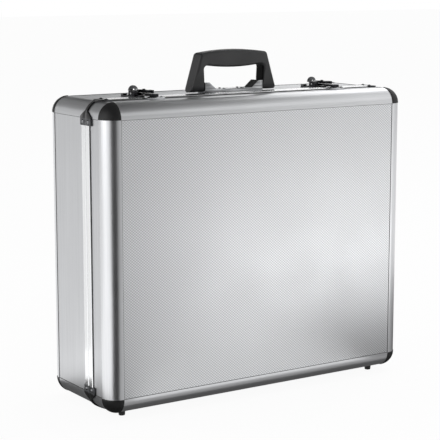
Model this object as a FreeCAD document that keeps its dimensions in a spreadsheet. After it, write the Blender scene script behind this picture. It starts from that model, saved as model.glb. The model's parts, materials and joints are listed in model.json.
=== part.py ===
# Aluminium case that stands on its hinge side, with a framed lid facing the front (-Y).
# Millimetres, +X along the width, +Y from the lid to the back, +Z up.
# The origin lies on the floor under the middle of the case, at the level of the feet's soles.
import FreeCAD
import Part
import Sketcher
import math
import os
import re

# Driving dimensions
SIZES = {
    # Case body over its panels' frame
    "case_width": 455.0,
    "case_depth": 154.0,
    "case_height": 382.0,
    "lid_depth": 51.0,
    "edge_radius": 20.0,
    # Panels and the quarter-round edge extrusions that hold them
    "panel_thickness": 4.0,
    "panel_recess": 0.5,
    "edge_wall": 2.0,
    "flange_wall": 1.5,
    "flange_length": 6.0,
    "lining_thickness": 3.0,
    "lining_gap": 0.5,
    # Corner caps
    "cap_proud": 0.6,
    "cap_wall": 3.0,
    # Rims that meet at the parting plane
    "rim_width": 10.0,
    "rim_proud": 1.5,
    "rim_web": 2.0,
    "rim_round": 1.45,
    # Corner braces over the rims' ends
    "brace_ear": 9.0,
    "lid_brace_width": 14.5,
    "base_brace_width": 12.0,
    "brace_strip": 2.6,
    "brace_narrow": 14.6,
    "brace_shoulder": 28.0,
    # Rivets
    "rivet_head_radius": 2.6,
    "rivet_head_height": 1.3,
    "rivet_shank_radius": 1.5,
    "small_head_radius": 1.9,
    "small_head_height": 0.9,
    "small_shank_radius": 1.2,
    "rivet_grip": 3.0,
    # Feet
    "foot_height": 8.0,
    "foot_sole_radius": 4.0,
    "foot_radius": 4.5,
    "foot_inset_x": 32.0,
    "foot_inset_y": 28.0,
    "foot_spigot_radius": 2.0,
    # Hinges under the case
    "hinge_inset": 87.5,
    "hinge_length": 60.0,
    "hinge_leaf_width": 24.0,
    "hinge_leaf_wall": 1.5,
    "hinge_knuckle_radius": 2.4,
    "hinge_knuckle_length": 19.4,
    "hinge_pin_radius": 1.2,
    "hinge_pin_clear": 0.05,
    "hinge_side_gap": 0.3,
    "hinge_rivet_pitch": 20.0,
    # Handle on the top
    "handle_setback": 27.0,
    "handle_length": 133.0,
    "handle_lean": 15.0,
    "handle_leg_width": 21.5,
    "handle_shoulder": 50.8,
    "handle_crown": 4.0,
    "handle_depth": 20.0,
    "handle_flare": 1.0,
    "handle_opening_height": 35.9,
    "handle_sag": 3.6,
    "handle_leg_straight": 17.0,
    "handle_taper_height": 28.0,
    "handle_edge_round": 4.0,
    "handle_corner_round": 5.0,
    "handle_pivot_rise": 10.0,
    "handle_leg_round": 8.6,
    "handle_pin_radius": 2.0,
    "handle_pin_clear": 0.05,
    "handle_pin_length": 21.0,
    "handle_plate_depth": 17.0,
    "handle_plate_rise": 4.8,
    "handle_bracket_top": 13.6,
    "handle_bracket_slope": 10.5,
    "handle_bracket_length": 6.5,
    "handle_side_gap": 0.5,
    "handle_rivet_y": 5.0,
    # Latches: base plate with cheeks
    "latch_inset": 88.0,
    "latch_plate_width": 33.2,
    "latch_plate_length": 30.0,
    "fitting_gap": 0.3,
    "cheek_wall": 2.6,
    "cheek_front": 4.0,
    "cheek_back": 6.0,
    "cheek_top": 8.0,
    "latch_rivet_inset": 2.3,
    "latch_rivet_front": 15.7,
    "latch_rivet_pitch": 6.0,
    "latch_stop_width": 5.5,
    "latch_stop_length": 6.0,
    "latch_stop_height": 2.3,
    # Latches: lever
    "lever_setback": 17.0,
    "lever_pivot_rise": 5.0,
    "lever_width": 25.2,
    "lever_side_gap": 0.4,
    "lever_front": 1.0,
    "lever_length": 22.5,
    "lever_wall": 1.7,
    "lever_lift": 1.3,
    "lever_cheek_wall": 2.0,
    "lever_cheek_length": 9.0,
    "lever_cheek_radius": 2.8,
    "lever_slot_back": 12.2,
    "lever_slot_gap": 0.6,
    "trunnion_radius": 1.3,
    "trunnion_clear": 0.05,
    "tab_radius": 6.8,
    "tab_wall": 2.0,
    # Latches: lock in the lever
    "lock_setback": 16.8,
    "lock_housing_radius": 4.4,
    "lock_housing_drop": 4.1,
    "plug_radius": 3.0,
    "plug_clear": 0.05,
    "plug_rise": 1.2,
    "key_slot_length": 4.0,
    "key_slot_width": 0.9,
    "key_slot_depth": 3.0,
    # Latches: hook and catch
    "hook_setback": 5.5,
    "hook_drop": 1.5,
    "hook_pin_radius": 1.0,
    "hook_pin_clear": 0.05,
    "hook_boss_radius": 1.7,
    "hook_width": 10.0,
    "hook_wall": 1.8,
    "hook_lift": 0.4,
    "hook_reach": 38.0,
    "hook_nose_wall": 2.2,
    "hook_nose_drop": 2.0,
    "catch_width": 24.0,
    "catch_length": 8.5,
    "catch_lip_wall": 2.0,
    "catch_nose_gap": 0.8,
    "catch_hook_gap": 0.4,
    "catch_rivet_x": 8.9,
}

# Places and sizes that follow from the driving dimensions
PLACES = {
    "half_width": "case_width / 2",
    "front_y": "0 - case_depth / 2",
    "back_y": "case_depth / 2",
    "parting_y": "lid_depth - case_depth / 2",
    "bottom_z": "foot_height",
    "top_z": "foot_height + case_height",
    "middle_z": "foot_height + case_height / 2",
    "panel_inset": "panel_recess + panel_thickness",
    "flange_inset": "panel_inset + flange_wall",
    "panel_half_width": "half_width - edge_radius",
    "panel_low_z": "bottom_z + edge_radius",
    "panel_high_z": "top_z - edge_radius",
    "brace_reach": "edge_radius + brace_ear",
    "fitting_z": "top_z + rim_proud",
    "panel_top_z": "top_z - panel_recess",
    "hinge_offset": "half_width - hinge_inset",
    "hinge_z": "bottom_z - rim_proud - hinge_side_gap - hinge_knuckle_radius",
    "handle_y": "parting_y + handle_setback",
    "handle_z": "top_z + handle_pivot_rise",
    "handle_plate_z": "top_z + handle_plate_rise",
    "handle_top_length": "handle_length - 2 * handle_lean",
    "handle_opening": "handle_length - 2 * handle_leg_width",
    "handle_opening_top": "handle_opening + 2 * handle_flare",
    "handle_bracket_x": "handle_opening / 2 - handle_side_gap",
    "handle_slope_x": "handle_bracket_x - handle_bracket_length",
    "handle_foot_x": "handle_slope_x - handle_bracket_slope",
    "handle_rivet_x": "handle_foot_x / 2",
    "latch_offset": "half_width - latch_inset",
    "latch_plate_y": "parting_y + rim_width + fitting_gap",
    "latch_y": "parting_y + lever_setback",
    "latch_z": "top_z + lever_pivot_rise",
    "lever_under_z": "latch_z + lever_lift",
    "lever_top_z": "lever_under_z + lever_wall",
    "lever_back_y": "latch_y + lever_length",
    "lock_y": "latch_y + lock_setback",
    "hook_y": "latch_y + hook_setback",
    "hook_z": "latch_z - hook_drop",
    "hook_under_z": "hook_z + hook_lift",
    "nose_front_y": "hook_y - hook_reach",
    "lip_front_y": "nose_front_y + hook_nose_wall + catch_nose_gap",
    "lip_back_y": "lip_front_y + catch_lip_wall",
}

SIDES = {"left": -1, "right": 1}
CORNERS = [(-1, -1), (1, -1), (1, 1), (-1, 1)]
SIN_45 = "sqrt(0.5)"
PICK_TOLERANCE = 0.1
AXES = {
    "X": FreeCAD.Vector(1, 0, 0),
    "Y": FreeCAD.Vector(0, 1, 0),
    "Z": FreeCAD.Vector(0, 0, 1),
}

doc = FreeCAD.newDocument("aluminium_case")
sheet = doc.addObject("Spreadsheet::Sheet", "dims")
for row, (alias, value) in enumerate(SIZES.items(), start=1):
    sheet.set(f"A{row}", alias)
    sheet.set(f"B{row}", str(value))
    sheet.setAlias(f"B{row}", alias)
doc.recompute()


# Expressions: a size's name becomes its cell, and a place's name becomes what it follows from
def cells(text):
    def spell(match):
        word = match.group(0)
        if word in PLACES:
            return "(" + cells(PLACES[word]) + ")"
        return "dims." + word if word in SIZES else word
    return re.sub(r"[a-z_]+", spell, str(text))


def number(text):
    return float(sheet.evalExpression(cells(text)))


def bind(item, **texts):
    for name, text in texts.items():
        item.setExpression(name, cells(text))
    return item


def place(item, x, y, z, rotation=None):
    if rotation is not None:
        item.Placement = FreeCAD.Placement(FreeCAD.Vector(), rotation)
    for letter, text in zip("xyz", (x, y, z)):
        item.setExpression(f"Placement.Base.{letter}", cells(text))
    return item


def turned(u, v):
    return FreeCAD.Rotation(u, v, u.cross(v), "ZXY")


# Primitives and booleans
def box(name, x, y, z):
    item = doc.addObject("Part::Box", name)
    spans = [f"({high}) - ({low})" for low, high in (x, y, z)]
    bind(item, Length=spans[0], Width=spans[1], Height=spans[2])
    return place(item, x[0], y[0], z[0])


def rod(name, axis, radius, span, across):
    # span is along the axis, across holds the two other coordinates in X, Y, Z order
    item = doc.addObject("Part::Cylinder", name)
    bind(item, Radius=radius, Height=f"({span[1]}) - ({span[0]})")
    spot = list(across)
    spot.insert("XYZ".index(axis), span[0])
    return place(item, *spot, FreeCAD.Rotation(AXES["Z"], AXES[axis]))


def cut(name, base, tool):
    item = doc.addObject("Part::Cut", name)
    item.Base = base
    item.Tool = tool
    return item


def join(name, pieces):
    item = doc.addObject("Part::MultiFuse", name)
    item.Shapes = pieces
    item.Refine = True
    return item


def group(name, pieces):
    item = doc.addObject("Part::Compound", name)
    item.Links = pieces
    return item


# Sketched pieces: a corner is (u, v), or (u, v, radius) at the end of an arc,
# whose radius is negative where the arc runs clockwise
def sketch(body, name, role, corners):
    item = body.newObject("Sketcher::SketchObject", name)
    plane = [feature for feature in body.Origin.OriginFeatures if feature.Role == role][0]
    item.AttachmentSupport = [(plane, "")]
    item.MapMode = "FlatFace"
    spots = [FreeCAD.Vector(number(corner[0]), number(corner[1]), 0) for corner in corners]
    curves = []
    ends = []
    rules = []
    for index, corner in enumerate(corners):
        start = spots[index - 1]
        end = spots[index]
        if len(corner) == 2:
            curves.append(Part.LineSegment(start, end))
            ends.append((1, 2))
            continue
        radius = number(corner[2])
        chord = end - start
        rise = math.sqrt(max(radius ** 2 - chord.Length ** 2 / 4, 0.0)) * math.copysign(1, radius)
        left = FreeCAD.Vector(-chord.y, chord.x, 0).normalize()
        centre = (start + end) / 2 + left * rise
        first, last = (start, end) if radius > 0 else (end, start)
        angles = [math.atan2(spot.y - centre.y, spot.x - centre.x) for spot in (first, last)]
        circle = Part.Circle(centre, AXES["Z"], abs(radius))
        curves.append(Part.ArcOfCircle(circle, *angles))
        ends.append((1, 2) if radius > 0 else (2, 1))
        rules.append((Sketcher.Constraint("Radius", index, abs(radius)), f"abs({corner[2]})"))
    for index, corner in enumerate(corners):
        after = (index + 1) % len(corners)
        rules.append((Sketcher.Constraint("Coincident", index, ends[index][1], after, ends[after][0]), None))
        for kind, text in zip(("DistanceX", "DistanceY"), corner):
            rules.append((Sketcher.Constraint(kind, -1, 1, index, ends[index][1], number(text)), text))
    item.addGeometry(curves, False)
    item.addConstraint([rule for rule, text in rules])
    for index, (rule, text) in enumerate(rules):
        if text is not None:
            item.setExpression(f"Constraints[{index}]", cells(text))
    return item


def bar(name, role, corners, length, growth="Symmetric"):
    body = doc.addObject("PartDesign::Body", name)
    pad = body.newObject("PartDesign::Pad", name + "_pad")
    pad.Profile = sketch(body, name + "_outline", role, corners)
    pad.SideType = growth
    bind(pad, Length=length)
    return body


# Edge extrusion: a quarter-round tube wall whose flanges lie behind the panels' borders
def edge(name, spot, u, v, length):
    inner = "(edge_radius - edge_wall)"
    inner_end = f"sqrt({inner} ^ 2 - flange_wall ^ 2)"
    board = "edge_radius - panel_inset"
    flange = "edge_radius - flange_inset"
    corners = [
        ("edge_radius", "0"),
        ("0", "edge_radius", "edge_radius"),
        ("0", board),
        ("0 - flange_length", board),
        ("0 - flange_length", flange),
        ("flange_wall", flange),
        ("flange_wall", inner_end),
        (inner_end, "flange_wall", f"0 - {inner}"),
        (flange, "flange_wall"),
        (flange, "0 - flange_length"),
        (board, "0 - flange_length"),
        (board, "0"),
    ]
    return place(bar(name, "XY_Plane", corners, length), *spot, turned(u, v))


# Corner cap: an eighth of a ball's shell over the three edges' ends
def cap(name, spot, signs):
    x, y, z = (AXES[letter] * sign for letter, sign in zip("XYZ", signs))
    u, v = (x, y) if signs[0] * signs[1] * signs[2] > 0 else (y, x)
    shells = []
    radii = {"outside": "edge_radius + cap_proud", "inside": "edge_radius + cap_proud - cap_wall"}
    for part, radius in radii.items():
        ball = doc.addObject("Part::Sphere", f"{name}_{part}")
        ball.Angle1 = 0
        ball.Angle2 = 90
        ball.Angle3 = 90
        bind(ball, Radius=radius)
        shells.append(place(ball, *spot, turned(u, v)))
    return cut(name, *shells)


# Rim: a channel over the edge of one wall, with a rounded rib outside
def rim(name, spot, outward, inward, length):
    depth = "0 - rim_width"
    corners = [
        ("rim_proud", "0 - rim_round"),
        ("rim_proud - rim_round", "0", "rim_round"),
        ("0 - flange_inset", "0"),
        ("0 - flange_inset", depth),
        ("0 - panel_inset", depth),
        ("0 - panel_inset", "0 - rim_web"),
        ("0 - panel_recess", "0 - rim_web"),
        ("0 - panel_recess", depth),
        ("rim_proud - rim_round", depth),
        ("rim_proud", "rim_round - rim_width", "rim_round"),
    ]
    return place(bar(name, "XY_Plane", corners, length), *spot, turned(outward, inward))


# Corner brace: a strip round the corner at the parting plane, with a riveted ear on each wall
def brace(name, spot, outward, inward, width):
    inner = "edge_radius"
    outer = "(edge_radius + rim_proud)"
    seat = "(edge_radius - panel_recess)"
    corners = [
        (f"({seat} + brace_ear) * {SIN_45}", f"({seat} - brace_ear) * {SIN_45}"),
        (f"({outer} + brace_ear) * {SIN_45}", f"({outer} - brace_ear) * {SIN_45}"),
        (f"{outer} * {SIN_45}", f"{outer} * {SIN_45}"),
        (f"0 - {outer} * {SIN_45}", f"{outer} * {SIN_45}", outer),
        (f"0 - ({outer} + brace_ear) * {SIN_45}", f"({outer} - brace_ear) * {SIN_45}"),
        (f"0 - ({seat} + brace_ear) * {SIN_45}", f"({seat} - brace_ear) * {SIN_45}"),
        (f"0 - {seat} * {SIN_45}", f"{seat} * {SIN_45}"),
        (f"0 - {inner} * {SIN_45}", f"{inner} * {SIN_45}"),
        (f"{inner} * {SIN_45}", f"{inner} * {SIN_45}", f"0 - {inner}"),
        (f"{seat} * {SIN_45}", f"{seat} * {SIN_45}"),
    ]
    body = bar(name, "XY_Plane", corners, width, "One side")
    waist = [
        ("brace_narrow / 2", "brace_strip"),
        ("brace_shoulder / 2", width),
        ("0 - brace_shoulder / 2", width),
        ("0 - brace_narrow / 2", "brace_strip"),
    ]
    pocket = body.newObject("PartDesign::Pocket", f"{name}_waist")
    pocket.Profile = sketch(body, f"{name}_waist_outline", "XZ_Plane", waist)
    pocket.SideType = "Symmetric"
    bind(pocket, Length="2 * brace_reach")
    return place(body, *spot, turned(outward.cross(inward), outward))


# Rivet: a low dome on a shank that grips the panel
def rivet(name, spot, outward, size="rivet", through="rim_proud"):
    head = f"{size}_head_radius"
    height = f"{size}_head_height"
    ball = f"({head} ^ 2 + {height} ^ 2) / (2 * {height})"
    dome = doc.addObject("Part::Sphere", name + "_head")
    dome.Angle2 = 90
    bind(dome, Radius=ball, Angle1=f"asin(({ball} - {height}) / ({ball}))")
    shank = doc.addObject("Part::Cylinder", name + "_shank")
    length = f"{through} + panel_recess + rivet_grip"
    bind(shank, Radius=f"{size}_shank_radius", Height=length)
    turn = FreeCAD.Rotation(AXES["Z"], outward)
    for item, shift in ((dome, f"{height} - {ball}"), (shank, f"0 - ({length})")):
        along = [f"({text}) + ({shift}) * {part}" for text, part in zip(spot, outward)]
        place(item, *along, turn)
    return join(name, [dome, shank])


nodes = []


def node(item):
    nodes.append(item)
    return item


# The two halves: y at the outer face, which way that face looks, the half's depth and its brace ears' width
HALVES = {
    "lid": {"face": "front", "face_y": "front_y", "way": -1, "depth": "lid_depth",
            "ear": "lid_brace_width"},
    "base": {"face": "back", "face_y": "back_y", "way": 1, "depth": "case_depth - lid_depth",
             "ear": "base_brace_width"},
}
WALLS = {
    "top": {"out": AXES["Z"], "length": "case_width"},
    "bottom": {"out": AXES["Z"] * -1, "length": "case_width"},
    "left": {"out": AXES["X"] * -1, "length": "case_height"},
    "right": {"out": AXES["X"], "length": "case_height"},
}


def corner_spot(sign_x, sign_z, y):
    z = "panel_high_z" if sign_z > 0 else "panel_low_z"
    return (f"{sign_x} * panel_half_width", y, z)


def wall_spot(wall, depth, y):
    # A point on the middle line of a wall, at a depth below the case's outer face
    if wall in SIDES:
        return (f"{SIDES[wall]} * (half_width - ({depth}))", y, "middle_z")
    return ("0", y, f"top_z - ({depth})" if wall == "top" else f"bottom_z + ({depth})")


def wall_sheet(name, wall, near, far, y, border):
    # A flat sheet inside one wall, from depth near to depth far, with a border to the corners
    along_x = (f"({border}) - panel_half_width", f"panel_half_width - ({border})")
    along_z = (f"panel_low_z + ({border})", f"panel_high_z - ({border})")
    if wall == "top":
        return box(name, along_x, y, (f"top_z - ({far})", f"top_z - ({near})"))
    if wall == "bottom":
        return box(name, along_x, y, (f"bottom_z + ({near})", f"bottom_z + ({far})"))
    if wall == "left":
        return box(name, (f"({near}) - half_width", f"({far}) - half_width"), y, along_z)
    return box(name, (f"half_width - ({far})", f"half_width - ({near})"), y, along_z)


# Rivets of the braces, hinges and catches, all of one kind, in each half
for half, facts in HALVES.items():
    way = facts["way"]
    brace_y = f"parting_y + {way} * {facts['ear']} / 2"
    leaf_y = f"parting_y + {way} * (rim_width + hinge_leaf_width) / 2"
    ear = "(edge_radius + brace_ear / 2)"
    rivets = []
    for count, (sign_x, sign_z) in enumerate(CORNERS, start=1):
        ear_z = f"top_z - {ear}" if sign_z > 0 else f"bottom_z + {ear}"
        face_z = "fitting_z" if sign_z > 0 else "bottom_z - rim_proud"
        beside = (f"{sign_x} * (half_width + rim_proud)", brace_y, ear_z)
        level = (f"{sign_x} * (half_width - {ear})", brace_y, face_z)
        rivets.append(rivet(f"{half}_side_rivet_{count}", beside, AXES["X"] * sign_x))
        rivets.append(rivet(f"{half}_level_rivet_{count}", level, AXES["Z"] * sign_z))
    for side, sign in SIDES.items():
        for step in (-1, 0, 1):
            spot = (f"{sign} * hinge_offset + {step} * hinge_rivet_pitch", leaf_y, "bottom_z - rim_proud")
            rivets.append(rivet(f"{half}_{side}_leaf_rivet_{step + 2}", spot, AXES["Z"] * -1))
        if half == "lid":
            for step in (-1, 1):
                spot = (f"{sign} * latch_offset + {step} * catch_rivet_x",
                        "lip_front_y - (catch_length - catch_lip_wall) / 2", "fitting_z")
                rivets.append(rivet(f"{side}_catch_rivet_{step + 2}", spot, AXES["Z"]))
    facts["rivets"] = node(group(f"{half}_rivets", rivets))

# Smaller rivets of the handle plate and the latch bases
small_rivets = []
for sign_x, sign_y in CORNERS:
    spot = (f"{sign_x} * handle_rivet_x", f"handle_y + {sign_y} * handle_rivet_y", "handle_plate_z")
    name = f"handle_rivet_{len(small_rivets) + 1}"
    small_rivets.append(rivet(name, spot, AXES["Z"], "small", "handle_plate_rise"))
for side, sign in SIDES.items():
    for sign_x, sign_y in CORNERS:
        spot = (f"{sign} * latch_offset + {sign_x} * (latch_plate_width / 2 - latch_rivet_inset)",
                f"latch_plate_y + latch_rivet_front + (1 + {sign_y}) / 2 * latch_rivet_pitch", "fitting_z")
        small_rivets.append(rivet(f"latch_rivet_{len(small_rivets) + 1}", spot, AXES["Z"], "small"))
top_rivets = node(group("top_fitting_rivets", small_rivets))

# Feet: short studs under the case, two on each half, each with a spigot in the bottom wall
for half, facts in HALVES.items():
    feet = []
    for side, sign in SIDES.items():
        x = f"{sign} * (half_width - foot_inset_x)"
        y = f"{facts['face_y']} - {facts['way']} * foot_inset_y"
        stud = doc.addObject("Part::Cone", f"{half}_{side}_foot_stud")
        bind(stud, Radius1="foot_sole_radius", Radius2="foot_radius", Height="foot_height + panel_recess")
        place(stud, x, y, "0")
        in_wall = ("bottom_z + panel_recess", "bottom_z + panel_recess + rivet_grip")
        spigot = rod(f"{half}_{side}_foot_spigot", "Z", "foot_spigot_radius", in_wall, (x, y))
        feet.append(join(f"{half}_{side}_foot", [stud, spigot]))
    facts["feet"] = node(group(f"{half}_feet", feet))

# Shells: panels, walls, linings, edges, caps, rims and braces of each half
for half, facts in HALVES.items():
    face = facts["face"]
    face_y = facts["face_y"]
    way = facts["way"]
    outward = AXES["Y"] * way
    ring_y = f"{face_y} - {way} * edge_radius"

    def layer(near, far):
        # y of a sheet that lies between two depths below the half's outer face
        pair = (f"{face_y} - {way} * ({near})", f"{face_y} - {way} * ({far})")
        return pair if way < 0 else pair[::-1]

    def band(start, stop):
        # y of a sheet between a distance from the outer face and one from the parting plane
        pair = (f"{face_y} - {way} * ({start})", f"parting_y + {way} * ({stop})")
        return pair if way < 0 else pair[::-1]

    panel_x = ("0 - panel_half_width", "panel_half_width")
    panel_z = ("panel_low_z", "panel_high_z")
    node(box(f"{face}_panel", panel_x, layer("panel_recess", "panel_inset"), panel_z))
    border = "flange_length + lining_gap"
    lining_x = (f"{border} - panel_half_width", f"panel_half_width - ({border})")
    lining_z = (f"panel_low_z + {border}", f"panel_high_z - ({border})")
    lining_depth = "panel_inset + lining_thickness"
    node(box(f"{face}_lining", lining_x, layer("panel_inset", lining_depth), lining_z))

    fixings = [facts["rivets"], facts["feet"]] + ([top_rivets] if half == "base" else [])
    holes = group(f"{half}_holes", fixings)
    linings = []
    # Where two edges' flanges would cross behind a panel, the later edge is notched round the earlier one
    level_edges = group(f"{face}_level_edges", [])
    face_edges = []
    for wall, wall_facts in WALLS.items():
        span = band("edge_radius", "rim_web")
        board = wall_sheet(f"{half}_{wall}_board", wall, "panel_recess", "panel_inset", span, "0")
        node(cut(f"{half}_{wall}_wall", board, holes))
        inside = band("edge_radius + flange_length + lining_gap", "rim_width + lining_gap")
        linings.append(wall_sheet(f"{half}_{wall}_pad", wall, "panel_inset", lining_depth, inside, border))
        flat = f"{wall_facts['length']} - 2 * edge_radius"
        spot = wall_spot(wall, "edge_radius", ring_y)
        if wall in SIDES:
            blank = edge(f"{face}_{wall}_edge_blank", spot, outward, wall_facts["out"], flat)
            face_edges.append(node(cut(f"{face}_{wall}_edge", blank, level_edges)))
        else:
            face_edges.append(node(edge(f"{face}_{wall}_edge", spot, outward, wall_facts["out"], flat)))
            level_edges.Links = face_edges
        between = f"{wall_facts['length']} - 2 * brace_reach"
        spot = wall_spot(wall, "0", "parting_y")
        node(rim(f"{half}_{wall}_rim", spot, wall_facts["out"], outward * -1, between))
    node(group(f"{half}_wall_linings", linings))

    frame_edges = group(f"{face}_frame_edges", face_edges)
    edges = []
    caps = []
    braces = []
    for count, (sign_x, sign_z) in enumerate(CORNERS, start=1):
        middle_y = f"({ring_y} + parting_y) / 2"
        spot = corner_spot(sign_x, sign_z, middle_y)
        x_way = AXES["X"] * sign_x
        z_way = AXES["Z"] * sign_z
        blank = edge(f"{half}_depth_blank_{count}", spot, x_way, z_way, f"{facts['depth']} - edge_radius")
        edges.append(cut(f"{half}_depth_edge_{count}", blank, frame_edges))
        spot = corner_spot(sign_x, sign_z, ring_y)
        caps.append(cap(f"{half}_cap_{count}", spot, (sign_x, way, sign_z)))
        spot = corner_spot(sign_x, sign_z, "parting_y")
        blank = brace(f"{half}_brace_blank_{count}", spot, (x_way + z_way).normalize(), outward, facts["ear"])
        braces.append(cut(f"{half}_brace_{count}", blank, facts["rivets"]))
    node(group(f"{half}_depth_edges", edges))
    node(group(f"{half}_corner_caps", caps))
    node(group(f"{half}_corner_braces", braces))

# Hinges: leaves over the bottom rims, knuckles on an axis below the parting plane
leaf_z = ("bottom_z - rim_proud - hinge_leaf_wall", "bottom_z - rim_proud")
pins = []
for side, sign in SIDES.items():
    middle = f"{sign} * hinge_offset"
    whole = (f"{middle} - hinge_length / 2", f"{middle} + hinge_length / 2")
    inner_edge = "hinge_knuckle_length / 2"
    outer_edge = "(hinge_knuckle_length / 2 + hinge_side_gap)"
    pivot = ("parting_y", "hinge_z")
    pin = rod(f"{side}_hinge_pin", "X", "hinge_pin_radius", whole, pivot)
    pins.append(pin)
    running = rod(f"{side}_hinge_bore", "X", "hinge_pin_radius + hinge_pin_clear", whole, pivot)
    knuckles = {
        "lid": [(f"{middle} - {inner_edge}", f"{middle} + {inner_edge}")],
        "base": [(whole[0], f"{middle} - {outer_edge}"), (f"{middle} + {outer_edge}", whole[1])],
    }
    for half, facts in HALVES.items():
        way = facts["way"]

        def span_y(start, stop):
            pair = (f"parting_y + {way} * ({start})", f"parting_y + {way} * ({stop})")
            return pair if way > 0 else pair[::-1]

        name = f"{half}_{side}_hinge_leaf"
        clear = "hinge_knuckle_radius + hinge_side_gap"
        step = "rim_width + hinge_leaf_wall"
        seat_z = ("bottom_z - rim_proud", "bottom_z + panel_recess")
        pieces = [
            box(f"{name}_over_rim", whole, span_y(clear, step), leaf_z),
            box(f"{name}_on_wall", whole, span_y("rim_width + fitting_gap", "hinge_leaf_width"), seat_z),
        ]
        for count, span in enumerate(knuckles[half], start=1):
            pieces.append(box(f"{name}_arm_{count}", span, span_y("0", clear), leaf_z))
            pieces.append(rod(f"{name}_knuckle_{count}", "X", "hinge_knuckle_radius", span, pivot))
        blank = join(f"{name}_blank", pieces)
        drilled = cut(f"{name}_drilled", blank, running if half == "lid" else pin)
        node(cut(name, drilled, facts["rivets"]))
node(group("hinge_pins", pins))

# Handle: plate with two pivot brackets, pins, and the moulded grip that turns on them
bracket_right = [
    ("handle_bracket_x", "0 - panel_recess"),
    ("handle_bracket_x", "handle_bracket_top"),
    ("handle_slope_x", "handle_bracket_top"),
    ("handle_foot_x", "handle_plate_rise"),
]
bracket_left = [(f"0 - ({u})", v) for u, v in reversed(bracket_right)]
plate = bar("handle_plate_blank", "XZ_Plane", bracket_right + bracket_left, "handle_plate_depth")
place(plate, "0", "handle_y", "top_z")
handle_pins = []
handle_bores = []
for side, sign in SIDES.items():
    near = f"{sign} * handle_slope_x"
    far = f"{sign} * (handle_slope_x + handle_pin_length)"
    deep = f"{sign} * (handle_slope_x + handle_pin_length + handle_side_gap)"
    span = (near, far) if sign > 0 else (far, near)
    bore = (near, deep) if sign > 0 else (deep, near)
    across = ("handle_y", "handle_z")
    handle_pins.append(rod(f"{side}_handle_pin", "X", "handle_pin_radius", span, across))
    handle_bores.append(rod(f"{side}_handle_bore", "X", "handle_pin_radius + handle_pin_clear", bore, across))
pin_pair = node(group("handle_pins", handle_pins))
plate_holes = group("handle_plate_holes", [pin_pair, top_rivets])
node(cut("handle_plate", plate, plate_holes))

leg_low = "handle_pivot_rise - handle_leg_round"
crown_half = "(handle_top_length / 2)"
crown_radius = f"({crown_half} ^ 2 + handle_crown ^ 2) / (2 * handle_crown)"
sag_half = "(handle_opening_top / 2)"
sag_radius = f"({sag_half} ^ 2 + handle_sag ^ 2) / (2 * handle_sag)"
grip_corners = [
    ("handle_length / 2", leg_low),
    ("handle_top_length / 2", "handle_shoulder"),
    ("0 - handle_top_length / 2", "handle_shoulder", crown_radius),
    ("0 - handle_length / 2", leg_low),
    ("0 - handle_opening / 2", leg_low),
    ("0 - handle_opening / 2", "handle_leg_straight"),
    ("0 - handle_opening_top / 2", "handle_opening_height"),
    ("handle_opening_top / 2", "handle_opening_height", sag_radius),
    ("handle_opening / 2", "handle_leg_straight"),
    ("handle_opening / 2", leg_low),
]
grip = bar("handle_grip_blank", "XZ_Plane", grip_corners, "handle_depth")
outside_y = "handle_depth"
under_z = f"{leg_low} - handle_leg_round"
taper = [
    ("handle_depth / 2", "handle_taper_height"),
    (outside_y, "handle_taper_height"),
    (outside_y, under_z),
    (f"0 - {outside_y}", under_z),
    (f"0 - {outside_y}", "handle_taper_height"),
    ("0 - handle_depth / 2", "handle_taper_height"),
    ("0 - handle_leg_round", "handle_pivot_rise"),
    ("0", leg_low, "handle_leg_round"),
    ("handle_leg_round", "handle_pivot_rise", "handle_leg_round"),
]
doc.recompute()


def rounded(body, name, base, radius, wanted):
    # Rounds the edges of a body's feature that a test picks out
    chosen = [f"Edge{index}" for index, line in enumerate(base.Shape.Edges, start=1) if wanted(line)]
    item = body.newObject("PartDesign::Fillet", name)
    item.Base = (base, chosen)
    bind(item, Radius=radius)
    return item


def across_grip(line):
    # The lines through the grip's depth at its four upper corners, inside and out
    ends_y = sorted(vertex.Point.y for vertex in line.Vertexes)
    high = min(vertex.Point.z for vertex in line.Vertexes) > number("handle_leg_straight") + PICK_TOLERANCE
    return high and len(ends_y) == 2 and ends_y[1] - ends_y[0] > number("handle_depth") - PICK_TOLERANCE


def on_grip_face(line):
    # The outlines of the grip's front and back faces
    far = number("handle_depth") / 2 - PICK_TOLERANCE
    sides = [vertex.Point.y for vertex in line.Vertexes]
    return all(y > far for y in sides) or all(y < -far for y in sides)


grip_pad = doc.getObject("handle_grip_blank_pad")
round_corners = rounded(grip, "handle_corner_rounds", grip_pad, "handle_corner_round", across_grip)
doc.recompute()
rounded(grip, "handle_edge_rounds", round_corners, "handle_edge_round", on_grip_face)
legs = grip.newObject("PartDesign::Pocket", "handle_legs")
legs.Profile = sketch(grip, "handle_legs_outline", "YZ_Plane", taper)
legs.SideType = "Symmetric"
bind(legs, Length="handle_length * 2")
place(grip, "0", "handle_y", "top_z")
node(cut("handle_grip", grip, group("handle_grip_bores", handle_bores)))

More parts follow.
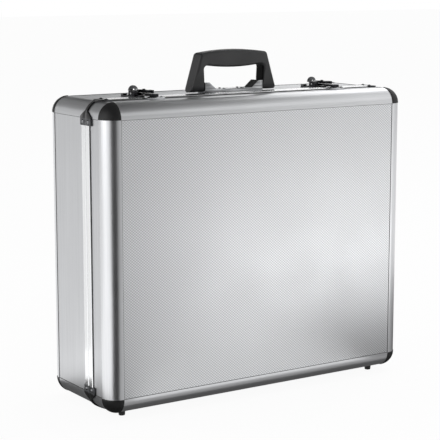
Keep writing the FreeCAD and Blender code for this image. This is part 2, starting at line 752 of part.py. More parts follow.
# Latches: base, lever with its lock, hook and catch, the same on both sides
for side, sign in SIDES.items():
    middle = f"{sign} * latch_offset"

    def across(low, high):
        return (f"{middle} + ({low})", f"{middle} + ({high})")

    def both(width):
        return across(f"0 - ({width}) / 2", f"({width}) / 2")

    def flank(step, near, far):
        return across(near, far) if step > 0 else across(f"0 - ({far})", f"0 - ({near})")

    pivot = ("latch_y", "latch_z")
    lever_half = "lever_width / 2"
    cheek_near = f"{lever_half} + lever_side_gap"
    cheek_far = f"{cheek_near} + cheek_wall"
    plate_y = ("latch_plate_y", "latch_plate_y + latch_plate_length")
    pieces = [box(f"{side}_latch_plate", both("latch_plate_width"), plate_y, ("panel_top_z", "fitting_z"))]
    cheek_y = ("latch_y - cheek_front", "latch_y + cheek_back")
    cheek_z = ("fitting_z", "top_z + cheek_top")
    for step in (-1, 1):
        label = f"{side}_cheek_{step + 2}"
        pieces.append(box(label, flank(step, cheek_near, cheek_far), cheek_y, cheek_z))
    stop_x = across("0 - latch_plate_width / 2", "latch_stop_width - latch_plate_width / 2")
    stop_y = (f"{plate_y[1]} - latch_stop_length", plate_y[1])
    pieces.append(box(f"{side}_latch_stop", stop_x, stop_y, ("fitting_z", "fitting_z + latch_stop_height")))
    cheek_span = both(f"2 * ({cheek_far})")
    bore = rod(f"{side}_cheek_bore", "X", "trunnion_radius + trunnion_clear", cheek_span, pivot)
    holes = group(f"{side}_latch_holes", [bore, top_rivets])
    node(cut(f"{side}_latch_base", join(f"{side}_latch_base_blank", pieces), holes))

    # Lever: forked plate with side cheeks, trunnions, the hook's pin, a lock housing and a thumb tab
    deck = ("lever_under_z", "lever_top_z")
    lever_right = [
        (lever_half, "0 - lever_front"),
        (lever_half, "lever_cheek_length"),
        ("tab_radius", "lever_length"),
    ]
    lever_left = [(f"0 - ({u})", v) for u, v in reversed(lever_right)]
    sheet_blank = bar(f"{side}_lever_sheet", "XY_Plane", lever_right + lever_left, "lever_wall", "One side")
    place(sheet_blank, middle, "latch_y", "lever_under_z")
    slot_y = ("latch_y - 2 * lever_front", "latch_y + lever_slot_back")
    slot = box(f"{side}_lever_slot", both("hook_width + 2 * lever_slot_gap"), slot_y, deck)
    pieces = [cut(f"{side}_lever_fork", sheet_blank, slot)]
    flange_near = f"{lever_half} - lever_cheek_wall"
    flange_y = ("latch_y", "latch_y + lever_cheek_length")
    flange_z = ("latch_z - lever_cheek_radius", "lever_under_z")
    for step in (-1, 1):
        wide = flank(step, flange_near, lever_half)
        label = f"{side}_lever_cheek_{step + 2}"
        pieces.append(box(label, wide, flange_y, flange_z))
        pieces.append(rod(f"{label}_round", "X", "lever_cheek_radius", wide, pivot))
        stub = flank(step, flange_near, cheek_far)
        pieces.append(rod(f"{label}_trunnion", "X", "trunnion_radius", stub, pivot))
    pin_span = both(f"2 * ({flange_near}) + lever_cheek_wall")
    pieces.append(rod(f"{side}_hook_pin", "X", "hook_pin_radius", pin_span, ("hook_y", "hook_z")))
    housing_z = ("lever_under_z - lock_housing_drop", "lever_top_z")
    pieces.append(rod(f"{side}_lock_housing", "Z", "lock_housing_radius", housing_z, (middle, "lock_y")))
    tab = doc.addObject("Part::Cylinder", f"{side}_lever_tab")
    tab.Angle = 180
    bind(tab, Radius="tab_radius", Height="tab_wall")
    place(tab, middle, "lever_back_y", "lever_under_z", turned(AXES["X"], AXES["Z"]))
    pieces.append(tab)
    lever_blank = join(f"{side}_lever_blank", pieces)
    plug_top = "lever_top_z + plug_rise"
    plug_span = (housing_z[0], plug_top)
    lock_bore = rod(f"{side}_lock_bore", "Z", "plug_radius + plug_clear", plug_span, (middle, "lock_y"))
    node(cut(f"{side}_latch_lever", lever_blank, lock_bore))

    # Lock plug with its key slot
    plug = rod(f"{side}_plug_blank", "Z", "plug_radius", plug_span, (middle, "lock_y"))
    key_y = ("lock_y - key_slot_length / 2", "lock_y + key_slot_length / 2")
    key_z = (f"{plug_top} - key_slot_depth", plug_top)
    key_slot = box(f"{side}_key_slot", both("key_slot_width"), key_y, key_z)
    node(cut(f"{side}_lock_plug", plug, key_slot))

    # Hook: a plate from the lever's pin to a nose in front of the catch's lip
    wide = both("hook_width")
    hook_z = ("hook_under_z", "hook_under_z + hook_wall")
    nose_y = ("nose_front_y", "nose_front_y + hook_nose_wall")
    nose_z = ("hook_under_z - hook_nose_drop", "hook_under_z + hook_wall")
    pieces = [
        box(f"{side}_hook_plate", wide, ("nose_front_y", "hook_y"), hook_z),
        rod(f"{side}_hook_boss", "X", "hook_boss_radius", wide, ("hook_y", "hook_z")),
        box(f"{side}_hook_nose", wide, nose_y, nose_z),
    ]
    hook_bore = rod(f"{side}_hook_bore", "X", "hook_pin_radius + hook_pin_clear", wide, ("hook_y", "hook_z"))
    node(cut(f"{side}_latch_hook", join(f"{side}_hook_blank", pieces), hook_bore))

    # Catch: a plate on the lid's top wall with the lip that the hook pulls
    catch_y = ("lip_back_y - catch_length", "lip_back_y")
    lip_z = ("panel_top_z", "hook_under_z - catch_hook_gap")
    pieces = [
        box(f"{side}_catch_plate", both("catch_width"), catch_y, ("panel_top_z", "fitting_z")),
        box(f"{side}_catch_lip", both("catch_width"), ("lip_front_y", "lip_back_y"), lip_z),
    ]
    node(cut(f"{side}_latch_catch", join(f"{side}_catch_blank", pieces), HALVES["lid"]["rivets"]))

doc.recompute()

# Every object must be sound before anything is written
for item in doc.Objects:
    if {"Invalid", "Error"} & set(item.State):
        raise RuntimeError(f"{item.Name}: {item.State}")
for item in nodes:
    if item.Shape.isNull() or not item.Shape.isValid() or not item.Shape.Solids:
        raise RuntimeError(f"{item.Label} has no sound shape")

os.makedirs("parts", exist_ok=True)
for item in nodes:
    item.Shape.exportStep(f"parts/{item.Label}.step")
print(len(nodes), "nodes,", sum(len(item.Shape.Solids) for item in nodes), "solids")
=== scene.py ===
import bpy
import json
import math
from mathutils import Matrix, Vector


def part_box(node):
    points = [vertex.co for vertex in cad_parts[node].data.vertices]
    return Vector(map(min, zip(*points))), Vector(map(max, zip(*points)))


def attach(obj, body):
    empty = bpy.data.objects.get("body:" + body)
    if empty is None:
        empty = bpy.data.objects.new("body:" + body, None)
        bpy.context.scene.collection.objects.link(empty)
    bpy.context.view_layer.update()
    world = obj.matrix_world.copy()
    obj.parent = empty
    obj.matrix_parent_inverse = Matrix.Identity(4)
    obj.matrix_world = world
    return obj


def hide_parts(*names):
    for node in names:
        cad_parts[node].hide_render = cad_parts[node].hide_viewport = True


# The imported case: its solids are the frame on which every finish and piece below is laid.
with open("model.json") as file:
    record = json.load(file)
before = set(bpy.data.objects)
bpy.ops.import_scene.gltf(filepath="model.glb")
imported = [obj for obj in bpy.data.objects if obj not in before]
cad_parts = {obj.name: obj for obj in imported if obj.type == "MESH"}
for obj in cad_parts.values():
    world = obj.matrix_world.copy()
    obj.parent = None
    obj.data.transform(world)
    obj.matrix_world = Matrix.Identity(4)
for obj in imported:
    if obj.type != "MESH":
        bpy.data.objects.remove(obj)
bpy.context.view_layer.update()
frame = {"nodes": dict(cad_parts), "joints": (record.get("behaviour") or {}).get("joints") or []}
MM = 0.001

# Boards: fibreboard walls faced with a smooth aluminium sheet, slid into the grooves of the frame.
# The rolled sheet has a satin gloss, fine rolling lines, and broad dull clouds where it was handled.
BOARD_COLOUR = "CFD0D2"
BOARD_SHADE = "C6C7C9"
BOARD_ROUGHNESS = (0.34, 0.44)
BOARD_LINES = {"width": 1.2 * MM, "length": 160 * MM, "depth": 0.002 * MM}
CLOUD_SIZE = 70 * MM
NOISE_SPAN = (0.3, 0.7)
WALLS_ALONG = {"Z": ("left", "right"), "X": ("top", "bottom")}


def linear(colour):
    shares = [int(colour[at:at + 2], 16) / 255 for at in (0, 2, 4)]
    curve = [s / 12.92 if s <= 0.04045 else ((s + 0.055) / 1.055) ** 2.4 for s in shares]
    return (*curve, 1.0)


def add_node(tree, kind, sockets, **settings):
    # Adds one node; a socket's value is either a number or colour, or the output that feeds it
    item = tree.nodes.new(kind)
    for name, value in settings.items():
        setattr(item, name, value)
    for name, value in sockets.items():
        if isinstance(value, bpy.types.NodeSocket):
            tree.links.new(value, item.inputs[name])
        else:
            item.inputs[name].default_value = value
    return item


def start_material(name, **sockets):
    material = bpy.data.materials.new(name)
    material.use_nodes = True
    shader = material.node_tree.nodes["Principled BSDF"]
    for socket, value in sockets.items():
        shader.inputs[socket.replace("_", " ")].default_value = value
    return material, material.node_tree, shader


def two_tones(tree, share, colours, span=NOISE_SPAN):
    # A colour that runs from the first tone to the second as the share rises through the span
    tint = add_node(tree, "ShaderNodeValToRGB", {"Fac": share})
    for element, place, colour in zip(tint.color_ramp.elements, span, colours):
        element.position = place
        element.color = linear(colour)
    return tint.outputs["Color"]


def feed_shader(tree, shader, tint, patches, roughness, relief, depth):
    # Leads three things into the shader: a colour, a gloss that varies in patches, and a height
    gloss = add_node(tree, "ShaderNodeMapRange", {
        "Value": patches, "From Min": NOISE_SPAN[0], "From Max": NOISE_SPAN[1],
        "To Min": roughness[0], "To Max": roughness[1]})
    height = add_node(tree, "ShaderNodeBump", {"Height": relief, "Strength": 1.0, "Distance": depth})
    tree.links.new(tint, shader.inputs["Base Color"])
    tree.links.new(gloss.outputs["Result"], shader.inputs["Roughness"])
    tree.links.new(height.outputs["Normal"], shader.inputs["Normal"])


def lined_metal(name, colours, roughness, along, width, length, depth):
    # Metal with fine lines along one axis: its colour and height follow the lines, its gloss broad clouds
    material, tree, shader = start_material(name, Metallic=1.0)
    scale = [1 / width] * 3
    scale["XYZ".index(along)] = 1 / length
    place = add_node(tree, "ShaderNodeTexCoord", {}).outputs["Object"]
    spread = add_node(tree, "ShaderNodeMapping", {"Vector": place, "Scale": scale}).outputs["Vector"]
    lines = add_node(tree, "ShaderNodeTexNoise", {
        "Vector": spread, "Scale": 1.0, "Detail": 1.0}).outputs["Fac"]
    clouds = add_node(tree, "ShaderNodeTexNoise", {
        "Vector": place, "Scale": 1 / CLOUD_SIZE, "Detail": 2.0}).outputs["Fac"]
    feed_shader(tree, shader, two_tones(tree, lines, colours), clouds, roughness, lines, depth)
    return material


def dress(material, *names):
    for name in names:
        mesh = frame["nodes"][name].data
        mesh.materials.clear()
        mesh.materials.append(material)


for along, walls in WALLS_ALONG.items():
    sheet = lined_metal(
        f"rolled_aluminium_sheet_{along}", (BOARD_SHADE, BOARD_COLOUR), BOARD_ROUGHNESS, along,
        **BOARD_LINES)
    dress(sheet, *[f"{half}_{wall}_wall" for half in ("lid", "base") for wall in walls])

# Front and back panels: the same board under an embossed aluminium sheet, held by the face edges.
# Rows of small raised diamonds break up its reflections, so it looks greyer and duller than the walls.
# The hollows between them are painted darker, as painted shade.
# The real diamonds are about 2 mm apart; they are drawn coarser, at 4.2 x 3.4 mm, so that they show.
PANEL_COLOUR = "DEDFE1"
PANEL_VALLEY_SHADE = "AAABAD"
PANEL_ROUGHNESS = (0.3, 0.36)
DIAMOND_WIDTH = 4.2 * MM
DIAMOND_HEIGHT = 3.4 * MM
DIAMOND_DEPTH = 0.1 * MM
DIAMOND_SPAN = (0.2, 0.8)

embossed, tree, shader = start_material("embossed_aluminium_sheet", Metallic=1.0)
place = add_node(tree, "ShaderNodeTexCoord", {}).outputs["Object"]
apart = add_node(tree, "ShaderNodeSeparateXYZ", {"Vector": place})
waves = []
for axis, pitch in (("X", DIAMOND_WIDTH), ("Z", DIAMOND_HEIGHT)):
    turn = add_node(tree, "ShaderNodeMath", {
        0: apart.outputs[axis], 1: 2 * math.pi / pitch}, operation="MULTIPLY")
    waves.append(add_node(tree, "ShaderNodeMath", {0: turn.outputs[0]}, operation="SINE").outputs[0])
relief = add_node(tree, "ShaderNodeMath", {0: waves[0], 1: waves[1]}, operation="MULTIPLY").outputs[0]
share = add_node(tree, "ShaderNodeMapRange", {
    "Value": relief, "From Min": -1.0, "From Max": 1.0}).outputs["Result"]
clouds = add_node(tree, "ShaderNodeTexNoise", {
    "Vector": place, "Scale": 1 / CLOUD_SIZE, "Detail": 2.0}).outputs["Fac"]
# The valleys between the diamonds are painted darker: painted shade
tint = two_tones(tree, share, (PANEL_VALLEY_SHADE, PANEL_COLOUR), DIAMOND_SPAN)
feed_shader(tree, shader, tint, clouds, PANEL_ROUGHNESS, relief, DIAMOND_DEPTH / 2)
dress(embossed, "front_panel", "back_panel")

# Board shadow lines: a thin black bead in the groove round each board, flush under the frame's lips, is
# painted shadow, the shade the lips cast in the groove.
# It is drawn round what shows of the board. A second black bead fills the corner along each rim, fine at
# the sides and full at the top and bottom, as painted shadow along the rim's edge.
GROOVE_SHADOW_COLOURS = ("161616", "262626")
GROOVE_SHADOW_ROUGHNESS = (0.5, 0.65)
GROOVE_SHADOW_WIDTH = 0.5 * MM
GROOVE_SHADOW_RISE = 0.3 * MM
# Width and rise of the painted shadow beads along the rims
FINE_SHADOW_BEAD = (0.35 * MM, 0.5 * MM)
FULL_SHADOW_BEAD = (0.8 * MM, 1.1 * MM)
PLASTIC_IOR = 1.5
MOULD_GRAIN = {"grain": 0.8 * MM, "depth": 0.01 * MM}
DRIFT_GRAINS = 40


def moulded_plastic(name, colours, roughness, grain, depth):
    # Plastic from a grained mould: speckled height and gloss, and a slow drift of colour
    material, tree, shader = start_material(name, IOR=PLASTIC_IOR)
    place = add_node(tree, "ShaderNodeTexCoord", {}).outputs["Object"]
    specks = add_node(tree, "ShaderNodeTexNoise", {
        "Vector": place, "Scale": 1 / grain, "Detail": 2.0}).outputs["Fac"]
    drift = add_node(tree, "ShaderNodeTexNoise", {
        "Vector": place, "Scale": 1 / (DRIFT_GRAINS * grain), "Detail": 1.0}).outputs["Fac"]
    feed_shader(tree, shader, two_tones(tree, drift, colours), specks, roughness, specks, depth)
    return material


def edit(piece):
    # Makes one piece the only one selected, and opens it in edit mode with all of it selected
    bpy.ops.object.select_all(action="DESELECT")
    piece.select_set(True)
    bpy.context.view_layer.objects.active = piece
    bpy.ops.object.mode_set(mode="EDIT")
    bpy.ops.mesh.select_all(action="SELECT")


def apply_modifier(piece, kind, **settings):
    modifier = piece.modifiers.new(kind.lower(), kind)
    for name, value in settings.items():
        setattr(modifier, name, value)
    bpy.context.view_layer.objects.active = piece
    bpy.ops.object.modifier_apply(modifier=modifier.name)


def finish_piece(piece, name, material, body, slot, *nodes):
    # Names a finished piece, gives it its material and body, and hides the solids it stands for
    piece.name = name
    piece.data.name = name
    piece.data.materials.clear()
    piece.data.materials.append(material)
    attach(piece, body)
    if nodes:
        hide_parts(*nodes)
    return piece


def new_plane(centre, size, turn):
    bpy.ops.object.select_all(action="DESELECT")
    bpy.ops.mesh.primitive_plane_add(size=1, location=centre, rotation=turn)
    piece = bpy.context.object
    piece.scale = (size[0], size[1], 1)
    bpy.ops.object.transform_apply(location=True, rotation=True, scale=True)
    return piece


# For each facing: the turn of a plane that faces that way, its axis, and 1 where it is the high end
FACINGS = {
    "front": ((math.pi / 2, 0, 0), 1, 0),
    "back": ((-math.pi / 2, 0, 0), 1, 1),
    "left": ((0, -math.pi / 2, 0), 0, 0),
    "right": ((0, math.pi / 2, 0), 0, 1),
    "top": ((0, 0, 0), 2, 1),
    "bottom": ((math.pi, 0, 0), 2, 0),
}
BODIES = {"lid": "lid", "base": "case_base"}
# The black of all these beads is painted shadow
groove_shadow_black = moulded_plastic("black_sealant", GROOVE_SHADOW_COLOURS, GROOVE_SHADOW_ROUGHNESS, **MOULD_GRAIN)
boards = [("front_panel", "front", "lid", None), ("back_panel", "back", "base", None)]
for half in BODIES:
    for wall in ("left", "right", "top", "bottom"):
        boards.append((f"{half}_{wall}_wall", wall, half, f"{half}_{wall}_rim"))
for board, facing, half, rim in boards:
    turn, axis, end = FACINGS[facing]
    low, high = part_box(board)
    if rim and half == "lid":
        high.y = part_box(rim)[0].y
    elif rim:
        low.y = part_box(rim)[1].y
    centre = (low + high) / 2
    centre[axis] = (low, high)[end][axis]
    span = high - low
    size = {0: (span.z, span.y), 1: (span.x, span.z), 2: (span.x, span.y)}[axis]
    shadow_bead = new_plane(centre, size, turn)
    edit(shadow_bead)
    bpy.ops.mesh.inset(thickness=GROOVE_SHADOW_WIDTH)
    bpy.ops.mesh.delete(type="FACE")
    bpy.ops.object.mode_set(mode="OBJECT")
    apply_modifier(shadow_bead, "SOLIDIFY", thickness=GROOVE_SHADOW_RISE, offset=1.0)
    finish_piece(shadow_bead, f"{board}_groove_shadow", groove_shadow_black, BODIES[half], "black_plastic")
    # The bead along the rim is painted shadow too
    if rim:
        width, rise = FINE_SHADOW_BEAD if axis == 0 else FULL_SHADOW_BEAD
        centre.y = high.y - width / 2 if half == "lid" else low.y + width / 2
        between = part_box(rim)[1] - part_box(rim)[0]
        size = (between.z, width) if axis == 0 else (between.x, width)
        shadow_bead = new_plane(centre, size, turn)
        apply_modifier(shadow_bead, "SOLIDIFY", thickness=rise, offset=1.0)
        apply_modifier(shadow_bead, "BEVEL", width=width / 3, segments=2)
        finish_piece(shadow_bead, f"{rim}_bead", groove_shadow_black, BODIES[half], "black_plastic")

# Edge frame: quarter-round aluminium extrusions, satin anodised, cut to length and riveted to the boards.
# Die lines run along each length, so reflections smear across it into broad bands.
EDGE_COLOUR = "DCDDDF"
EDGE_SHADE = "D4D5D7"
EDGE_ROUGHNESS = (0.29, 0.34)
EDGE_LINES = {"width": 1.0 * MM, "length": 90 * MM, "depth": 0.0004 * MM}

edges = {"X": [], "Y": ["lid_depth_edges", "base_depth_edges"], "Z": []}
rims = {"X": [], "Z": []}
for along, walls in WALLS_ALONG.items():
    for wall in walls:
        edges[along] += [f"front_{wall}_edge", f"back_{wall}_edge"]
        rims[along] += [f"lid_{wall}_rim", f"base_{wall}_rim"]
for along, names in edges.items():
    extrusion = lined_metal(
        f"anodised_aluminium_extrusion_{along}", (EDGE_SHADE, EDGE_COLOUR), EDGE_ROUGHNESS, along,
        **EDGE_LINES)
    dress(extrusion, *names)

# Rims: bright aluminium channels on the boards' edges, which meet where the case opens.
# They are polished more than the edge frame, so they show almost white.
RIM_COLOUR = "EEEFF0"
RIM_SHADE = "E4E5E6"
RIM_ROUGHNESS = (0.14, 0.2)
for along, names in rims.items():
    channel = lined_metal(
        f"bright_aluminium_channel_{along}", (RIM_SHADE, RIM_COLOUR), RIM_ROUGHNESS, along,
        **EDGE_LINES)
    dress(channel, *names)

# Corner caps: black ABS mouldings over the ends of three edges, glued and riveted from inside.
# A fine spark-eroded grain in the mould gives them a soft, broad sheen, and their borders are rounded.
CAP_COLOURS = ("0B0B0C", "121213")
CAP_ROUGHNESS = (0.52, 0.6)
CAP_ROUNDING = 0.5 * MM
MERGE_DISTANCE = 0.001 * MM
FLAT_ANGLE = math.radians(0.5)
CORNER_ANGLE = math.radians(40)
SMOOTH_ANGLE = math.radians(32)


def round_corners(piece, width, segments=2):
    # Rounds off the sharp corners of the piece that is selected, and smooths its shading between them
    apply_modifier(piece, "BEVEL", width=width, segments=segments, limit_method="ANGLE",
                   angle_limit=CORNER_ANGLE)
    bpy.ops.object.shade_smooth_by_angle(angle=SMOOTH_ANGLE)


def softened(node, material, body, slot, width, segments=2):
    # A copy of one solid, its triangles joined into whole faces and its sharp corners rounded off
    piece = bpy.data.objects.new(node, frame["nodes"][node].data.copy())
    bpy.context.scene.collection.objects.link(piece)
    edit(piece)
    bpy.ops.mesh.remove_doubles(threshold=MERGE_DISTANCE)
    bpy.ops.mesh.dissolve_limited(angle_limit=FLAT_ANGLE)
    bpy.ops.object.mode_set(mode="OBJECT")
    round_corners(piece, width, segments)
    return finish_piece(piece, f"{node}_finish", material, body, slot, node)


cap_plastic = moulded_plastic("black_abs_moulding", CAP_COLOURS, CAP_ROUGHNESS, **MOULD_GRAIN)
for half, body in BODIES.items():
    softened(f"{half}_corner_caps", cap_plastic, body, "black_plastic", CAP_ROUNDING)

# Corner braces: zinc-plated steel stampings, bent round the corners where the case opens and riveted
# by their ears. The plating is a dark, dull grey with faint clouds, and the narrow strip round the corner
# is painted black, a painted reflection of the dark surroundings it faces.
BRACE_COLOURS = ("4C4D4F", "5A5B5E")
ZINC_ROUGHNESS = (0.3, 0.42)
ZINC_LINES = {"width": 3 * MM, "length": 8 * MM, "depth": 0.004 * MM}
STRIP_REFLECTION_COLOURS = ("0C0C0D", "131314")
STRIP_REFLECTION_ROUGHNESS = (0.25, 0.35)
STRIP_REFLECTION_GRAIN = {"grain": 0.8 * MM, "depth": 0.004 * MM}
BRACE_ROUNDING = 0.3 * MM
brace_steel = lined_metal("dark_zinc_steel", BRACE_COLOURS, ZINC_ROUGHNESS, "Y", **ZINC_LINES)
strip_dark_reflection = moulded_plastic("black_enamel", STRIP_REFLECTION_COLOURS, STRIP_REFLECTION_ROUGHNESS, **STRIP_REFLECTION_GRAIN)
panel_low, panel_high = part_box("front_panel")
for half, body in BODIES.items():
    braces = softened(f"{half}_corner_braces", brace_steel, body, "zinc_steel", BRACE_ROUNDING)
    braces.data.materials.append(strip_dark_reflection)
    # Faces beside the board and beyond it form the strip round the corner, painted black as a painted
    # reflection
    for face in braces.data.polygons:
        beside = abs(face.center.x) > panel_high.x
        beyond = face.center.z > panel_high.z or face.center.z < panel_low.z
        face.material_index = 1 if beside and beyond else 0

# Rivets: domed steel rivets that hold the braces, hinges, catches and top fittings to the boards.
# Setting them polishes their heads, so each shows a sharp highlight.
RIVET_COLOURS = ("606163", "7C7D7F")
RIVET_ROUGHNESS = (0.1, 0.16)
RIVET_LINES = {"width": 1 * MM, "length": 2 * MM, "depth": 0.001 * MM}
rivet_metal = lined_metal("polished_rivet_steel", RIVET_COLOURS, RIVET_ROUGHNESS, "Y", **RIVET_LINES)
dress(rivet_metal, "lid_rivets", "base_rivets", "top_fitting_rivets")

# Hinges: zinc-plated steel leaves riveted over the bottom rims, with rolled knuckles on a steel pin.
# Their plating is a lighter grey than that of the braces, with the same faint clouds.
ZINC_COLOURS = ("747577", "96979A")
HINGE_ROUNDING = 0.3 * MM
zinc = lined_metal("zinc_plated_steel", ZINC_COLOURS, ZINC_ROUGHNESS, "Y", **ZINC_LINES)
for side in ("left", "right"):
    for half, body in BODIES.items():
        softened(f"{half}_{side}_hinge_leaf", zinc, body, "zinc_steel", HINGE_ROUNDING)
dress(rivet_metal, "hinge_pins")

# Feet: rubber studs pressed into the bottom boards, matte and a little dusty.
# Their soles are rounded where they rub on the floor.
FOOT_COLOURS = ("101010", "1A1A1A")
FOOT_ROUGHNESS = (0.7, 0.85)
FOOT_GRAIN = {"grain": 0.8 * MM, "depth": 0.02 * MM}
FOOT_ROUNDING = 0.8 * MM
FOOT_SEGMENTS = 3
foot_rubber = moulded_plastic("black_rubber", FOOT_COLOURS, FOOT_ROUGHNESS, **FOOT_GRAIN)
for half, body in BODIES.items():
    softened(f"{half}_feet", foot_rubber, body, "foot_rubber", FOOT_ROUNDING, FOOT_SEGMENTS)

# Handle: a steel plate with two raised brackets riveted to the top, and a grip that swings on two pins.
# The grip is one moulding of soft-touch plastic, whose fine grain makes it matte dark grey.
# The inner faces of its legs, turned to the finger gap, are painted black and nearly without shine:
# painted shade.
PLATE_COLOURS = ("77787A", "BCBDBF")
PLATE_ROUGHNESS = (0.12, 0.2)
PLATE_LINES = {"width": 1.6 * MM, "length": 30 * MM, "depth": 0.005 * MM}
PLATE_ROUNDING = 0.5 * MM
GRIP_COLOURS = ("29292A", "333334")
GRIP_ROUGHNESS = (0.42, 0.52)
GRIP_SPECULAR = 0.5
LEG_SHADE_COLOUR = "070707"
LEG_SHADE_SPECULAR = 0.05
LEG_SHADE_RANGE = (38 * MM, 26 * MM)
plate_steel = lined_metal("brushed_zinc_plate", PLATE_COLOURS, PLATE_ROUGHNESS, "X", **PLATE_LINES)
softened("handle_plate", plate_steel, "case_base", "zinc_steel", PLATE_ROUNDING)
dress(rivet_metal, "handle_pins")
grip_plastic = moulded_plastic("soft_touch_plastic", GRIP_COLOURS, GRIP_ROUGHNESS, **MOULD_GRAIN)

# An inner face points back to the middle, so its place along X times its normal along X is below zero.
# Past the first of the two sizes set above for the legs, such a face is wholly black as painted shade,
# and short of the second it is plain.
tree = grip_plastic.node_tree
place = add_node(tree, "ShaderNodeTexCoord", {})
ways = [add_node(tree, "ShaderNodeSeparateXYZ", {"Vector": place.outputs[kind]}).outputs["X"]
        for kind in ("Object", "Normal")]
facing = add_node(tree, "ShaderNodeMath", {0: ways[0], 1: ways[1]}, operation="MULTIPLY")
leg_shade = add_node(tree, "ShaderNodeMapRange", {
    "Value": facing.outputs[0], "From Min": -LEG_SHADE_RANGE[0], "From Max": -LEG_SHADE_RANGE[1],
    "To Min": 1.0, "To Max": 0.0}).outputs["Result"]
shader = tree.nodes["Principled BSDF"]
plain = shader.inputs["Base Color"].links[0].from_socket
# In a mix of colours, sockets 0, 6 and 7 are the share and the two colours, and output 2 is the result
tint = add_node(tree, "ShaderNodeMix", {0: leg_shade, 6: plain, 7: linear(LEG_SHADE_COLOUR)}, data_type="RGBA")
tree.links.new(tint.outputs[2], shader.inputs["Base Color"])
shine = add_node(tree, "ShaderNodeMapRange", {
    "Value": leg_shade, "To Min": GRIP_SPECULAR, "To Max": LEG_SHADE_SPECULAR})
tree.links.new(shine.outputs["Result"], shader.inputs["Specular IOR Level"])
dress(grip_plastic, "handle_grip")

# Latches: pressed steel bases, levers and hooks plated in dark gunmetal, and a chrome catch on the lid.
# Each lever turns on a pin whose peened ends show as bright dots on the cheeks, and its tab is painted a
# lighter grey, a painted highlight on its top.
# Under its arms are hollow skirts, with a rivet head over each, and a flange is folded down at the lock.
GUNMETAL_COLOURS = ("313133", "38383B")
GUNMETAL_ROUGHNESS = (0.24, 0.34)
PAINTED_LIGHT_COLOURS = ("606163", "6A6B6D")
PAINTED_LIGHT_ROUGHNESS = (0.3, 0.4)
CHROME_COLOURS = ("D8D9DB", "E6E7E8")
CHROME_ROUGHNESS = (0.08, 0.14)
STAMPED_LINES = {"width": 1 * MM, "length": 6 * MM, "depth": 0.002 * MM}
CHROME_LINES = {"width": 1 * MM, "length": 6 * MM, "depth": 0.001 * MM}
LATCH_ROUNDING = 0.35 * MM
PLATE_MARGIN = 0.1 * MM
TAB_MARGIN = 1 * MM
HEAD_SIDES = 20
HEAD_SEGMENTS = 4
HEAD_ROUNDING = 0.45
PIN_HEAD = {"radius": 1.3 * MM, "rise": 0.5 * MM}
ARM_HEAD = {"radius": 2.0 * MM, "rise": 1.1 * MM}
# Places across the lever are counted from its middle, and those along it and above it from its pivot
ARM_HEAD_PLACE = (9.1 * MM, 10.2 * MM, 3.0 * MM)
SKIRT_ACROSS = (5.8 * MM, 12.6 * MM)
SKIRT_ALONG = (-1.0 * MM, 9.0 * MM)
SKIRT_UP = (-3.0 * MM, 1.5 * MM)
FACES_DOWN = -0.5
SKIRT_WALL = 1.2 * MM
SKIRT_HOLLOW = 3.6 * MM
FLANGE_ACROSS = (-8.6 * MM, 8.6 * MM)
FLANGE_ALONG = (12.2 * MM, 13.7 * MM)
FLANGE_UP = (-2.6 * MM, 1.4 * MM)
gunmetal = lined_metal(
    "gunmetal_plated_steel", GUNMETAL_COLOURS, GUNMETAL_ROUGHNESS, "X", **STAMPED_LINES)
lit_gunmetal = lined_metal("worn_gunmetal", PAINTED_LIGHT_COLOURS, PAINTED_LIGHT_ROUGHNESS, "X", **STAMPED_LINES)
chrome = lined_metal("chrome_plated_steel", CHROME_COLOURS, CHROME_ROUGHNESS, "X", **CHROME_LINES)


def peened_head(spot, turn, radius, rise):
    # A low dome: a short cylinder whose rims are rounded off
    bpy.ops.object.select_all(action="DESELECT")
    bpy.ops.mesh.primitive_cylinder_add(
        vertices=HEAD_SIDES, radius=radius, depth=rise, location=spot, rotation=turn)
    head = bpy.context.object
    bpy.ops.object.transform_apply(location=True, rotation=True, scale=True)
    round_corners(head, rise * HEAD_ROUNDING, HEAD_SEGMENTS)
    return head


def corners(origin, *spans):
    # The lowest and highest corner of a block, from where it starts and stops along each axis
    return [[start + span[end] for start, span in zip(origin, spans)] for end in (0, 1)]


def new_block(low, high):
    bpy.ops.object.select_all(action="DESELECT")
    bpy.ops.mesh.primitive_cube_add(size=1, location=[(a + b) / 2 for a, b in zip(low, high)])
    block = bpy.context.object
    block.scale = [b - a for a, b in zip(low, high)]
    bpy.ops.object.transform_apply(location=True, rotation=True, scale=True)
    return block


def skirt(low, high):
    # A small pressed box, open underneath: a block whose lower face is inset and pushed up
    block = new_block(low, high)
    edit(block)
    bpy.ops.mesh.select_mode(type="FACE")
    bpy.ops.mesh.select_all(action="DESELECT")
    bpy.ops.object.mode_set(mode="OBJECT")
    for face in block.data.polygons:
        face.select = face.normal.z < FACES_DOWN
    bpy.ops.object.mode_set(mode="EDIT")
    bpy.ops.mesh.inset(thickness=SKIRT_WALL, depth=-SKIRT_HOLLOW)
    bpy.ops.object.mode_set(mode="OBJECT")
    round_corners(block, LATCH_ROUNDING)
    return block


def joined(pieces):
    # Makes one piece of several
    bpy.ops.object.select_all(action="DESELECT")
    for piece in pieces:
        piece.select_set(True)
    bpy.context.view_layer.objects.active = pieces[0]
    bpy.ops.object.join()
    return pieces[0]


